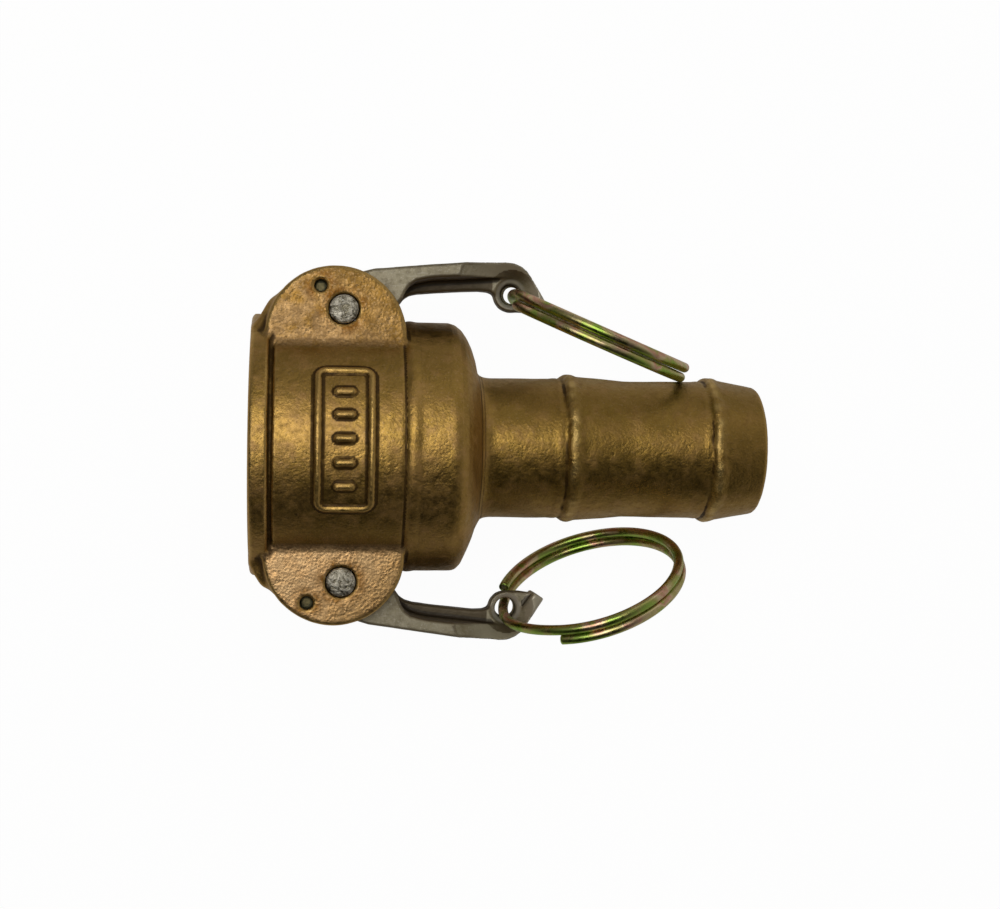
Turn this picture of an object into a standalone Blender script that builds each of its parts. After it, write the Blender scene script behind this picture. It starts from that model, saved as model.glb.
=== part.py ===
"""Camlock coupling, 1 inch: a female cup with two cam arms on one end, a barbed hose shank on the other.

The coupling lies on its side: its bore runs along X (mouth at -X, hose end at +X) and its pivot pins
stand along Z. "Upper" parts lie toward +Y and "lower" ones toward -Y; "near" is +Z and "far" is -Z.
The origin is the centre of the bounding box. Dimensions are in millimetres and angles in degrees,
measured from the centre of the mouth's face unless a comment says otherwise.
"""

import math
from collections import namedtuple

import bmesh
import bpy
from mathutils import Matrix, Vector

MM = 0.001
SIDES = (("upper", 1), ("lower", -1))  # name, sign of Y
FACES = (("near", 1), ("far", -1))  # name, sign of Z

# ---- dimensions shared by several pieces ---------------------------------------------------------
LENGTH = 92.2
FRAME_X, FRAME_Y = -LENGTH / 2, 0.6625  # where the mouth's centre lies from the origin
GASKET_SEAT_R, GASKET_SEAT_START = 20.15, 25.8
PIN_X, PIN_Y, PIN_R, PIN_HALF = 15.95, 23.6, 2.4, 14.3
PIN_HOLE_R = 2.7
PIN_SIDES = 28  # facets round a pin and its holes

# ---- materials -----------------------------------------------------------------------------------
Look = namedtuple("Look", "colour roughness metallic")
BRASS = Look(colour=(0.42, 0.27, 0.09), roughness=0.42, metallic=1.0)
STEEL = Look(colour=(0.33, 0.31, 0.27), roughness=0.45, metallic=1.0)
PIN_STEEL = Look(colour=(0.62, 0.60, 0.56), roughness=0.35, metallic=1.0)
PASSIVATED = Look(colour=(0.42, 0.40, 0.14), roughness=0.25, metallic=1.0)
RUBBER = Look(colour=(0.02, 0.02, 0.02), roughness=0.75, metallic=0.0)


def material(name, look):
    made = bpy.data.materials.new(name)
    made.use_nodes = True
    inputs = made.node_tree.nodes["Principled BSDF"].inputs
    inputs["Base Color"].default_value = (*look.colour, 1)
    inputs["Roughness"].default_value = look.roughness
    inputs["Metallic"].default_value = look.metallic
    made.diffuse_color = (*look.colour, 1)
    return made


# ---- scene ---------------------------------------------------------------------------------------
for old in list(bpy.data.objects):
    bpy.data.objects.remove(old, do_unlink=True)

scene = bpy.context.scene
scene.unit_settings.scale_length = 1.0


def collection(name):
    made = bpy.data.collections.new(name)
    scene.collection.children.link(made)
    return made


PARTS = collection("camlock_coupling")
CUTTERS = collection("cutters")  # every shape that a boolean adds or takes away
CUTTERS.hide_render = True

frame = bpy.data.objects.new("mouth_centre", None)
frame.location = (FRAME_X * MM, FRAME_Y * MM, 0)
PARTS.objects.link(frame)


# ---- shape builders ------------------------------------------------------------------------------
def placed(obj, group, parent=None, look=None):
    """Links an object to its collection and parent, and gives it a material of its own name."""
    group.objects.link(obj)
    obj.parent = parent or frame
    if look:
        obj.data.materials.append(material(obj.name, look))
    if group is CUTTERS:
        obj.hide_render = True
        obj.display_type = "WIRE"
    return obj


def plate(name, outline, low, high, group=CUTTERS, parent=None, look=None):
    """A flat outline in XY, thick from Z low to Z high."""
    curve = bpy.data.curves.new(name, "CURVE")
    curve.dimensions = "2D"
    curve.fill_mode = "BOTH"
    curve.extrude = (high - low) / 2 * MM
    spline = curve.splines.new("POLY")
    spline.points.add(len(outline) - 1)
    for point, (x, y) in zip(spline.points, outline):
        point.co = (x * MM, y * MM, 0, 1)
    spline.use_cyclic_u = True

    source = bpy.data.objects.new(name, curve)
    scene.collection.objects.link(source)
    bpy.context.view_layer.update()
    graph = bpy.context.evaluated_depsgraph_get()
    mesh = bpy.data.meshes.new_from_object(source.evaluated_get(graph))
    bpy.data.objects.remove(source, do_unlink=True)

    # The curve's caps come apart from its sides, so they are welded.
    bm = bmesh.new()
    bm.from_mesh(mesh)
    bmesh.ops.remove_doubles(bm, verts=bm.verts, dist=1e-6)
    bmesh.ops.recalc_face_normals(bm, faces=bm.faces)
    bm.to_mesh(mesh)
    bm.free()
    mesh.name = name
    mesh.transform(Matrix.Translation((0, 0, (high + low) / 2 * MM)))
    return placed(bpy.data.objects.new(name, mesh), group, parent, look)


def cutter(name, bm, parent=None):
    mesh = bpy.data.meshes.new(name)
    bm.to_mesh(mesh)
    bm.free()
    return placed(bpy.data.objects.new(name, mesh), CUTTERS, parent)


def post(name, x, y, radius, low, high, sides, parent=None, top=None):
    """A round cutter along Z; top is its radius at Z high where that differs."""
    bm = bmesh.new()
    bmesh.ops.create_cone(
        bm, cap_ends=True, segments=sides, radius1=radius * MM,
        radius2=(radius if top is None else top) * MM, depth=(high - low) * MM,
    )
    bmesh.ops.translate(bm, verts=bm.verts, vec=(x * MM, y * MM, (high + low) / 2 * MM))
    return cutter(name, bm, parent)


def block(name, low, high):
    """A box cutter between two opposite corners."""
    bm = bmesh.new()
    bmesh.ops.create_cube(bm, size=1)
    bmesh.ops.scale(bm, verts=bm.verts, vec=[(b - a) * MM for a, b in zip(low, high)])
    bmesh.ops.translate(bm, verts=bm.verts, vec=[(a + b) / 2 * MM for a, b in zip(low, high)])
    return cutter(name, bm)


def turned(name, profile, group, steps, look=None, closed=False, along_x=True):
    """A profile of (distance along the axis, radius) turned about its own Z, which may be laid along X.

    A closed profile makes a ring; an open one starts and ends on the axis.
    """
    mesh = bpy.data.meshes.new(name)
    half = math.pi / steps  # half a step round: on the bore, a facet lies flat underneath
    points = [(r * math.cos(half) * MM, r * math.sin(half) * MM, x * MM) for x, r in profile]
    count = len(points)
    edges = [(i, i + 1) for i in range(count - 1)]
    if closed:
        edges.append((count - 1, 0))
    mesh.from_pydata(points, edges, [])
    made = placed(bpy.data.objects.new(name, mesh), group, look=look)
    if along_x:
        made.rotation_euler = (0, math.radians(90), 0)
    screw = made.modifiers.new("turn", "SCREW")
    screw.axis = "Z"
    screw.steps = screw.render_steps = steps
    screw.use_merge_vertices = True
    screw.merge_threshold = 1e-6
    screw.use_smooth_shade = True
    return made


def boolean(obj, operation, *others):
    for other in others:
        made = obj.modifiers.new(f"{operation.lower()} {other.name}", "BOOLEAN")
        made.operation = operation
        made.object = other
        made.solver = "EXACT"


def flipped(points, sign):
    """An outline drawn for the upper side, put on the side with this sign of Y."""
    return [(x, sign * y) for x, y in points]


# ---- housing -------------------------------------------------------------------------------------
RIM_R, RIM_END, RIM_BEVEL = 23.45, 3.3, 1.2
GROOVE_R = 21.9  # shallow groove behind the rim
PANEL_R, PANEL_END = 22.3, 26.2
COLLAR_R, COLLAR_END = 22.5, 36.4
SHANK_R = 12.75
BARB_1, BARB_2 = 55.6, 82.3  # where the two barbs rise
TIP_R, TIP_BEVEL = 11.7, 0.3
CUP_BORE_R, CUP_BEVEL, CUP_FLOOR = 18.7, 0.9, 32.75
THROAT_R, THROAT_END = 13.2, 36.0  # opening in the cup's floor, which then tapers to the hose bore
HOSE_BORE_R, HOSE_BORE_START = 9.9, 41.0
BORE_OVERRUN = 2  # how far the bore's cutter stands out of both ends
TURN_STEPS = 60

EAR_X, EAR_Y, EAR_R = 14.7, 18.95, 12.2
EAR_FOOT_Y = 11.0
EAR_ARC_STEPS = 26
EAR_FACE, EAR_GAP = 13.9, 9.7  # half heights along Z: outer flats, inner faces
WEB_SETBACK = 2.4  # from the ear's outer flat
WINDOW_X, WINDOW_Y = (9.45, 23.6), (10.0, 30.0)
CLIP_HOLE_R, CLIP_HOLE_SIDES = 1.15, 16
CLIP_HOLES = {"upper": (11.9, 27.6), "lower": (10.1, -27.2)}
DRILL_HALF = 20

# Outside profile, from the hose end back to the mouth: distance from the mouth, radius.
OUTSIDE = [
    (LENGTH, 0), (LENGTH, TIP_R - TIP_BEVEL), (LENGTH - TIP_BEVEL, TIP_R),
    (BARB_2 + 0.8, 13.25), (BARB_2 + 0.2, 13.2), (BARB_2 - 0.6, 12.65),
    (80.4, 12.55), (67.5, 12.5),
    (BARB_1 + 1.3, 13.45), (BARB_1 + 0.5, 13.35), (BARB_1 - 0.8, SHANK_R),
    (41.6, SHANK_R), (40.8, 13.2), (40.1, 15.05), (39.2, 17.45), (38.4, 19.45), (37.4, 21.5),
    (COLLAR_END, COLLAR_R), (PANEL_END + 0.3, COLLAR_R), (PANEL_END, PANEL_R),
    (RIM_END + 0.9, PANEL_R), (RIM_END + 0.6, GROOVE_R), (RIM_END + 0.1, GROOVE_R),
    (RIM_END, RIM_R), (RIM_BEVEL, RIM_R), (0, RIM_R - RIM_BEVEL), (0, 0),
]
# Bore profile, the same way and in the same columns.
BORE = [
    (LENGTH + BORE_OVERRUN, 0), (LENGTH + BORE_OVERRUN, HOSE_BORE_R),
    (HOSE_BORE_START, HOSE_BORE_R), (THROAT_END, THROAT_R),
    (CUP_FLOOR, THROAT_R), (CUP_FLOOR, GASKET_SEAT_R),
    (GASKET_SEAT_START, GASKET_SEAT_R), (GASKET_SEAT_START, CUP_BORE_R),
    (CUP_BEVEL, CUP_BORE_R), (0, CUP_BORE_R + CUP_BEVEL),
    (-BORE_OVERRUN, CUP_BORE_R + CUP_BEVEL + BORE_OVERRUN), (-BORE_OVERRUN, 0),
]
# Outline of the web on each side: x, distance from the bore's axis.
WEBS = {
    "upper": [(0.3, 14.0), (0.3, 18.6), (1.3, 21.8), (3.2, 25.6), (8.5, 27.0), (8.5, 14.0)],
    "lower": [(0.3, 14.0), (0.3, 19.4), (1.2, 22.4), (2.6, 24.3), (8.5, 25.5), (8.5, 14.0)],
}


def ear_outline():
    angles = [math.pi * i / EAR_ARC_STEPS for i in range(EAR_ARC_STEPS + 1)]
    return [(EAR_X - EAR_R, EAR_FOOT_Y), (EAR_X + EAR_R, EAR_FOOT_Y)] + [
        (EAR_X + EAR_R * math.cos(a), EAR_Y + EAR_R * math.sin(a)) for a in angles
    ]


def add_ears(body, side, sign):
    for face, face_sign in FACES:
        # The lobe's foot goes into the cup's wall; the bore takes off what is left inside.
        low, high = sorted((face_sign * EAR_GAP, face_sign * EAR_FACE))
        lobe = plate(f"lobe_{side}_{face}", flipped(ear_outline(), sign), low, high)
        # The web carries the lobe down to the rim.
        low, high = sorted((face_sign * EAR_GAP, face_sign * (EAR_FACE - WEB_SETBACK)))
        web = plate(f"web_{side}_{face}", flipped(WEBS[side], sign), low, high)
        boolean(body, "UNION", lobe, web)


def cut_window_and_pin_hole(body, side, sign):
    """The opening between a side's two ears, and the hole for its pin."""
    low_y, high_y = sorted(sign * y for y in WINDOW_Y)
    window = block(
        f"window_{side}", (WINDOW_X[0], low_y, -EAR_GAP), (WINDOW_X[1], high_y, EAR_GAP)
    )
    drill = post(
        f"pin_hole_{side}", PIN_X, sign * PIN_Y, PIN_HOLE_R, -DRILL_HALF, DRILL_HALF, PIN_SIDES
    )
    boolean(body, "DIFFERENCE", window, drill)


def housing():
    """The turned outside and four ears, then everything cut out of them."""
    body = turned("body", OUTSIDE, PARTS, TURN_STEPS, BRASS)
    for side, sign in SIDES:
        add_ears(body, side, sign)
    boolean(body, "DIFFERENCE", turned("bore", BORE, CUTTERS, TURN_STEPS))
    for side, sign in SIDES:
        cut_window_and_pin_hole(body, side, sign)
    for side, (x, y) in CLIP_HOLES.items():
        drill = post(
            f"clip_hole_{side}", x, y, CLIP_HOLE_R, -DRILL_HALF, DRILL_HALF, CLIP_HOLE_SIDES
        )
        boolean(body, "DIFFERENCE", drill)


# ---- gasket --------------------------------------------------------------------------------------
GASKET_OUTER_R, GASKET_INNER_R, GASKET_THICK = 19.85, 13.5, 6.35
GASKET_BEVEL = 0.4
GASKET_PLAY = 0.3  # from the start of its seat
GASKET_STEPS = 48


def gasket():
    start = GASKET_SEAT_START + GASKET_PLAY
    end = start + GASKET_THICK
    profile = [
        (end, GASKET_INNER_R), (end, GASKET_OUTER_R - GASKET_BEVEL),
        (end - GASKET_BEVEL, GASKET_OUTER_R), (start + GASKET_BEVEL, GASKET_OUTER_R),
        (start, GASKET_OUTER_R - GASKET_BEVEL), (start, GASKET_INNER_R),
    ]
    turned("gasket", profile, PARTS, GASKET_STEPS, RUBBER, closed=True)


# ---- cam arms ------------------------------------------------------------------------------------
# Measured from the pin's centre: +x toward the hose end, +y away from the bore.
ARM_HALF, ARM_TIP_HALF = 9.4, 3.6  # half widths along Z
RIB_HALF = 1.9
CAM_R = 7.35  # reach of the cam lobe
EYE_X, EYE_Y = 30.4, 5.05
EYE_R, EYE_BOSS_R, EYE_HALF = 1.95, 3.1, 1.5
EYE_SIDES, EYE_BOSS_SIDES = 24, 28
EYE_BOSS_SETBACK = 0.02  # of the boss from the lug's faces
SINK_DEPTH, SINK_FLARE, SINK_OVERRUN = 0.55, 0.6, 0.05  # countersink at each end of the eye
ARM_DRILL_HALF, EYE_DRILL_HALF, TAPER_CUT_HALF = 12, 6, 16
AJAR = {"upper": -1.3, "lower": 1.3}  # swing off the middle of the play, positive away from the bore

# The head, from its outer side round the mouth side to the heel: angle, reach.
HEAD = [
    (100, 6.0), (120, 5.0), (140, 4.3), (160, 4.0), (180, 4.0), (200, 4.2), (220, 4.9),
    (238, 6.0), (252, 6.95), (264, CAM_R), (278, CAM_R), (292, 7.2), (306, 6.8), (320, 6.5),
    (334, 6.5), (346, 6.8), (354, 7.1),
]
# The rest of the arm, from the heel out to the tip and back to the head: x, y.
STRAP = [
    # underside of the strap, toward the bore
    (7.7, 0.35), (9.2, 1.2), (10.2, 2.6), (10.8, 4.1), (11.5, 5.15), (12.6, 5.95), (14.2, 6.4),
    (15.6, 6.65), (29.4, 7.95), (30.9, 7.6), (32.0, 6.7),
    # turned-in tip and bend
    (35.3, 1.9), (37.1, 2.95), (33.9, 8.0), (33.0, 9.15), (31.9, 9.95), (30.6, 10.4),
    # outer side of the strap
    (29.2, 10.5), (26.0, 10.2), (15.5, 9.0), (5.2, 7.75), (2.6, 7.0),
]
# The lug that carries the eye, in the crook of the tip: x, y.
LUG = [
    (26.2, 7.9), (27.1, 6.6), (27.35, 5.1), (28.6, 2.65), (30.4, 2.0), (32.8, 1.95), (34.8, 2.2),
    (35.3, 2.9), (32.6, 7.2), (31.2, 8.2),
]
# The rib under the strap, from the heel to the eye: x, y.
RIB = [
    (10.2, 2.7), (10.9, 3.4), (12.0, 4.1), (13.4, 4.5), (15.6, 4.75), (20.0, 5.15), (24.5, 5.5),
    (26.2, 5.4), (28.5, 4.6), (29.6, 8.2), (12.6, 6.9), (10.4, 5.4),
]
# What comes off each edge of the strap: x, z on the near side.
TAPER = [(25.7, ARM_HALF + 0.001), (30.4, 4.4), (38.0, ARM_TIP_HALF), (38.0, 15), (25.7, 15)]


def arm_outline():
    angles = [(math.radians(angle), reach) for angle, reach in HEAD]
    return [(reach * math.cos(a), reach * math.sin(a)) for a, reach in angles] + STRAP


def taper(side, face, face_sign, pivot):
    """The outline is drawn in XY, then stood on edge so that its y becomes Z."""
    outline = [(x, face_sign * z) for x, z in TAPER]
    made = plate(
        f"taper_{side}_{face}", outline, -TAPER_CUT_HALF, TAPER_CUT_HALF, parent=pivot
    )
    made.data.transform(Matrix.Rotation(math.radians(90), 4, "X"))
    return made


def countersink(side, face, face_sign, eye_y, pivot):
    made = post(
        f"sink_{side}_{face}", EYE_X, eye_y, EYE_R,
        EYE_HALF - SINK_DEPTH, EYE_HALF + SINK_OVERRUN, EYE_SIDES, pivot, top=EYE_R + SINK_FLARE,
    )
    if face_sign < 0:
        # Turned over about X, then moved back to the eye.
        made.data.transform(Matrix.Rotation(math.pi, 4, "X"))
        made.data.transform(Matrix.Translation((0, 2 * eye_y * MM, 0)))
    return made


def cam_arm(side, sign):
    pivot = placed(bpy.data.objects.new(f"arm_axis_{side}", None), PARTS)
    pivot.location = (PIN_X * MM, sign * PIN_Y * MM, 0)
    pivot.rotation_euler = (0, 0, math.radians(sign * AJAR[side]))
    eye_y = sign * EYE_Y

    made = plate(
        f"cam_arm_{side}", flipped(arm_outline(), sign), -ARM_HALF, ARM_HALF, PARTS, pivot, STEEL
    )
    boss_half = EYE_HALF - EYE_BOSS_SETBACK
    boolean(
        made, "UNION",
        plate(f"rib_{side}", flipped(RIB, sign), -RIB_HALF, RIB_HALF, parent=pivot),
        plate(f"lug_{side}", flipped(LUG, sign), -EYE_HALF, EYE_HALF, parent=pivot),
        post(
            f"eye_boss_{side}", EYE_X, eye_y, EYE_BOSS_R, -boss_half, boss_half,
            EYE_BOSS_SIDES, pivot,
        ),
    )
    # Both edges of the strap draw in toward the tip, which leaves the ring room to swing.
    boolean(made, "DIFFERENCE", *(taper(side, *face, pivot) for face in FACES))
    boolean(
        made, "DIFFERENCE",
        post(
            f"arm_bore_{side}", 0, 0, PIN_HOLE_R, -ARM_DRILL_HALF, ARM_DRILL_HALF,
            PIN_SIDES, pivot,
        ),
        post(
            f"eye_{side}", EYE_X, eye_y, EYE_R, -EYE_DRILL_HALF, EYE_DRILL_HALF,
            EYE_SIDES, pivot,
        ),
        *(countersink(side, *face, eye_y, pivot) for face in FACES),
    )
    made.data.shade_smooth()
    made.data.set_sharp_from_angle(angle=math.radians(35))


# ---- pivot pins ----------------------------------------------------------------------------------
PIN_CROWN, PIN_CROWN_R = 0.08, 1.3  # how far the end has fallen at this radius
PIN_EDGE = 0.4  # how far it has fallen at the pin's side


def pivot_pin(side, sign):
    upper_half = [(PIN_HALF, 0), (PIN_HALF - PIN_CROWN, PIN_CROWN_R), (PIN_HALF - PIN_EDGE, PIN_R)]
    lower_half = [(-z, radius) for z, radius in reversed(upper_half)]
    pin = turned(
        f"pivot_pin_{side}", upper_half + lower_half, PARTS, PIN_SIDES, PIN_STEEL, along_x=False
    )
    pin.location = (PIN_X * MM, sign * PIN_Y * MM, 0)


# ---- split rings ---------------------------------------------------------------------------------
WIRE_R, LAYER_GAP = 0.9, 0.12
RING_STEP = 8  # degrees between points of the wire, about

# eye: where the wire's centre passes the arm's lug
# heading: direction from the eye toward the ring's middle, in plan
# roll: how far the ring has slid round through its eye
# lean: slant of the ring's plane from upright, about the heading
# single: from where to where past the eye the ring is one wire
RINGS = {
    "upper": dict(
        eye=(46.9, 27.9), radius=17.1, heading=-22.4, roll=5.0, lean=8.0, single=(-36, 24)
    ),
    "lower": dict(
        eye=(45.95, -29.0), radius=16.6, heading=20.0, roll=17.0, lean=21.0, single=(-12, 72)
    ),
}


def layer(angle, single):
    """How far the wire lies off the ring's middle plane, as it climbs from one turn to the other."""
    start, end = single
    share = min(max((angle - start) / (end - start), 0.0), 1.0)
    return (2 * WIRE_R + LAYER_GAP) / 2 * (2 * share * share * (3 - 2 * share) - 1)


def split_ring(side, eye, radius, heading, roll, lean, single):
    """Two turns of wire that part near the eye."""
    heading, roll, lean = (math.radians(angle) for angle in (heading, roll, lean))
    flat = Vector((math.cos(heading), math.sin(heading), 0))
    up = Vector((0, 0, 1))
    steep = up * math.cos(lean) + flat.cross(up) * math.sin(lean)
    to_centre = flat * math.cos(roll) + steep * math.sin(roll)
    along = steep * math.cos(roll) - flat * math.sin(roll)
    normal = along.cross(to_centre)

    curve = bpy.data.curves.new(f"pull_ring_{side}", "CURVE")
    curve.dimensions = "3D"
    curve.bevel_depth = WIRE_R * MM
    curve.bevel_resolution = 2
    curve.use_fill_caps = True
    first, last = single[1] - 360, single[0] + 360
    count = int((last - first) / RING_STEP) + 1
    spline = curve.splines.new("POLY")
    spline.points.add(count - 1)
    for i, point in enumerate(spline.points):
        angle = first + (last - first) * i / (count - 1)
        turn = math.radians(angle)
        place = (
            to_centre * radius * (1 - math.cos(turn))
            + along * radius * math.sin(turn)
            + normal * (layer(angle, single) - layer(0, single))
        )
        point.co = (*(place * MM), 1)
    made = placed(bpy.data.objects.new(f"pull_ring_{side}", curve), PARTS, look=PASSIVATED)
    made.location = (eye[0] * MM, eye[1] * MM, 0)


# ---- the whole coupling --------------------------------------------------------------------------
housing()
gasket()
for side, sign in SIDES:
    cam_arm(side, sign)
    pivot_pin(side, sign)
    split_ring(side, **RINGS[side])
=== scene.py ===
"""Camlock hose coupling: a cast brass body, two cam arms, pins, a gasket and two split rings.

The shapes are signed distance fields, swept wires and turned profiles in millimetres, measured
from the centre of the mouth's face: X along the bore toward the hose end, Y toward the upper arm,
Z up, along the pins.
"""

import math

import bpy
import numpy as np
from mathutils import Matrix, Vector


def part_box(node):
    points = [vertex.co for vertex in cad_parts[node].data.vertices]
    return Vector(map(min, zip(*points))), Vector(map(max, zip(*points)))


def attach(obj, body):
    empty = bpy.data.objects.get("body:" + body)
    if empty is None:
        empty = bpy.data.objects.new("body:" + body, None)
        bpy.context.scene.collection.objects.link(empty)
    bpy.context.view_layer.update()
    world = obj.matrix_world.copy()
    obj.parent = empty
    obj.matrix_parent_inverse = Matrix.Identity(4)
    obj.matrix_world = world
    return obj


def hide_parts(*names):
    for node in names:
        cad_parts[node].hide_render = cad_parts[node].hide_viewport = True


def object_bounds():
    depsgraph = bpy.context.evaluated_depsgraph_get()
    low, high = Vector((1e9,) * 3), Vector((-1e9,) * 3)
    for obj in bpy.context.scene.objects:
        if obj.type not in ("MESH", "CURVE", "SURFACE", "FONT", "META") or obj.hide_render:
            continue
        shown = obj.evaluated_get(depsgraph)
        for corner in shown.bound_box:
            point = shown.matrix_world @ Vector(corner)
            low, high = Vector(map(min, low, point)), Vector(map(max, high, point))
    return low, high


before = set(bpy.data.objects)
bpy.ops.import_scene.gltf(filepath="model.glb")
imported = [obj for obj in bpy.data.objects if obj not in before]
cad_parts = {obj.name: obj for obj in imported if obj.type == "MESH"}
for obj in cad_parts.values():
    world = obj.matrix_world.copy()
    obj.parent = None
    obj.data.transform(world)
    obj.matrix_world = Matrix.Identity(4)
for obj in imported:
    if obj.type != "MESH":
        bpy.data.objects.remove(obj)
CAD_LOW, CAD_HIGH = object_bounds()
MM = 0.001
SIDES = {"upper": 1, "lower": -1}  # the sign of Y on each side
SCENE = bpy.context.scene


def box_of(node):
    return [Vector(corner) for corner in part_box(node)]


body_low, body_high = box_of("body")
MOUTH = Vector((body_low.x, (body_low.y + body_high.y) / 2, (body_low.z + body_high.z) / 2))


def centre_of(node):
    low, high = box_of(node)
    return (low + high) / 2


PIN = {side: (centre_of(f"pivot_pin_{side}") - MOUTH) / MM for side in SIDES}

# =================================================================================================
# fields
# =================================================================================================


def outline_distance(points, x, y):
    """Signed distance to a closed outline, negative inside."""
    nearest = np.full(x.shape, 1e9)
    inside = np.zeros(x.shape, bool)
    for (x0, y0), (x1, y1) in zip(points, points[1:] + points[:1]):
        dx, dy = x1 - x0, y1 - y0
        share = np.clip(((x - x0) * dx + (y - y0) * dy) / (dx * dx + dy * dy), 0, 1)
        nearest = np.minimum(nearest, (x - x0 - share * dx) ** 2 + (y - y0 - share * dy) ** 2)
        if y0 != y1:
            between = (y >= min(y0, y1)) & (y < max(y0, y1))
            inside ^= between & (x < x0 + (y - y0) * dx / dy)
    return np.where(inside, -np.sqrt(nearest), np.sqrt(nearest))


class OutlineField:
    """An outline's distance on a grid, read between its points. soften rounds its corners, in mm."""

    def __init__(self, points, x_span, y_span, step, soften):
        self.x_low, self.y_low, self.step = x_span[0], y_span[0], step
        ticks = [np.arange(low, high + step, step) for low, high in (x_span, y_span)]
        values = outline_distance(points, *np.meshgrid(*ticks, indexing="ij"))
        reach = int(math.ceil(soften * 2.5 / step))
        weights = np.exp(-0.5 * (np.arange(-reach, reach + 1) * step / soften) ** 2)
        weights /= weights.sum()
        for axis in (0, 1):
            pad = [(0, 0), (0, 0)]
            pad[axis] = (reach, reach)
            padded = np.pad(values, pad, mode="edge")
            size = values.shape[axis]
            values = sum(
                weight * np.take(padded, range(i, i + size), axis=axis)
                for i, weight in enumerate(weights)
            )
        self.values = values

    def __call__(self, x, y):
        values = self.values
        x = np.clip((x - self.x_low) / self.step, 0, values.shape[0] - 1.001)
        y = np.clip((y - self.y_low) / self.step, 0, values.shape[1] - 1.001)
        i, j = x.astype(np.int64), y.astype(np.int64)
        x, y = x - i, y - j
        return (
            values[i, j] * (1 - x) * (1 - y) + values[i + 1, j] * x * (1 - y)
            + values[i, j + 1] * (1 - x) * y + values[i + 1, j + 1] * x * y
        )


def join(first, second, fillet):
    """The union of two fields with a fillet where they meet."""
    near = np.maximum(fillet - np.abs(first - second), 0) / fillet
    return np.minimum(first, second) - near * near * fillet * 0.25


def carve(solid, tool, fillet):
    """The solid with the tool cut out of it and the cut's edge rounded."""
    return -join(-solid, tool, fillet)


def overlap(first, second, radius):
    """Where two fields overlap, the edge between them rounded."""
    first, second = first + radius, second + radius
    outside = np.hypot(np.maximum(first, 0), np.maximum(second, 0))
    return np.minimum(np.maximum(first, second), 0) + outside - radius


def slab(plan, across, half, radius):
    """A plan outline made a plate of the given half thickness, its edges rounded."""
    return overlap(plan, np.abs(across) - half, radius)


def round_hole(x, y, centre, radius):
    return np.hypot(x - centre[0], y - centre[1]) - radius


def ease(value, low, high):
    """0 below low, 1 above high, smooth between."""
    share = np.clip((value - low) / (high - low), 0, 1)
    return share * share * (3 - 2 * share)


def bell(x, middle, width):
    return np.exp(-(((x - middle) / width) ** 2))


LATTICE = np.random.RandomState(11).rand(64, 64, 64) * 2 - 1


def noise(x, y, z, size, shift=0.0):
    """Smooth lattice noise, about -1..1, with features of the given size in mm."""
    places = [np.asarray(value) / size + shift + 17.3 for value in (x, y, z)]
    cells = [np.floor(place).astype(np.int64) for place in places]
    parts = [place - cell for place, cell in zip(places, cells)]
    parts = [part * part * (3 - 2 * part) for part in parts]
    total = 0
    for corner in np.ndindex(2, 2, 2):
        weight = 1
        for part, upper in zip(parts, corner):
            weight = weight * (part if upper else 1 - part)
        total = total + weight * LATTICE[tuple((c + k) % 64 for c, k in zip(cells, corner))]
    return total


def relief(x, y, z, *layers):
    """Summed noise; each layer is (height in mm, feature size in mm, lattice shift)."""
    return sum(height * noise(x, y, z, size, shift) for height, size, shift in layers)


# =================================================================================================
# meshes
# =================================================================================================


def skin(field, low, high, step):
    """The zero surface of a field as vertices and quads, one vertex per crossed cell."""
    count = [int(math.ceil((b - a) / step)) + 1 for a, b in zip(low, high)]
    ticks = [low[i] + step * np.arange(count[i]) for i in range(3)]
    values = np.empty(count, np.float32)
    for s in range(0, count[0], 16):
        block = np.meshgrid(ticks[0][s:s + 16], ticks[1], ticks[2], indexing="ij")
        values[s:s + 16] = field(*block)
    inside = values < 0
    total = np.zeros([n - 1 for n in count], np.int8)
    corners = list(np.ndindex(2, 2, 2))
    for i, j, k in corners:
        total += inside[i:count[0] - 1 + i, j:count[1] - 1 + j, k:count[2] - 1 + k]
    active = (total > 0) & (total < 8)
    cells = np.argwhere(active)
    ids = np.full(active.shape, -1, np.int64)
    ids[active] = np.arange(len(cells))

    # each vertex is the mean of the places where its cell's edges cross the surface
    place, crossings = np.zeros((len(cells), 3)), np.zeros(len(cells))
    for start in corners:
        for along in range(3):
            if start[along]:
                continue
            end = list(start)
            end[along] = 1
            before, after = (
                values[tuple(cells[:, i] + corner[i] for i in range(3))].astype(float)
                for corner in (start, end)
            )
            crossed = (before < 0) != (after < 0)
            share = np.where(crossed, before / np.where(crossed, before - after, 1), 0)
            point = np.array(start) + share[:, None] * np.subtract(end, start)
            place += point * crossed[:, None]
            crossings += crossed
    verts = np.array(low) + step * (cells + place / crossings[:, None])

    # each crossed grid edge gets a quad through the four cells round it
    quads = []
    for along in range(3):
        side, other = (along + 1) % 3, (along + 2) % 3
        first = [slice(1, count[k] - 1) for k in range(3)]
        first[along] = slice(0, count[along] - 1)
        second = list(first)
        second[along] = slice(1, count[along])
        starts_inside = inside[tuple(first)]
        differ = starts_inside != inside[tuple(second)]
        base = np.argwhere(differ) + [part.start for part in first]
        keep = starts_inside[differ]
        ring = []
        for side_step, other_step in ((-1, -1), (0, -1), (0, 0), (-1, 0)):
            cell = base.copy()
            cell[:, side] += side_step
            cell[:, other] += other_step
            ring.append(ids[tuple(cell.T)])
        quad = np.stack(ring, 1)
        quad[~keep] = quad[~keep][:, ::-1]
        quads.append(quad)
    return verts, np.concatenate(quads)


def gradient(field, points, probe=0.04):
    return np.stack([
        (field(*(points + shift).T) - field(*(points - shift).T)) / (2 * probe)
        for shift in np.eye(3) * probe
    ], 1)


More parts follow.
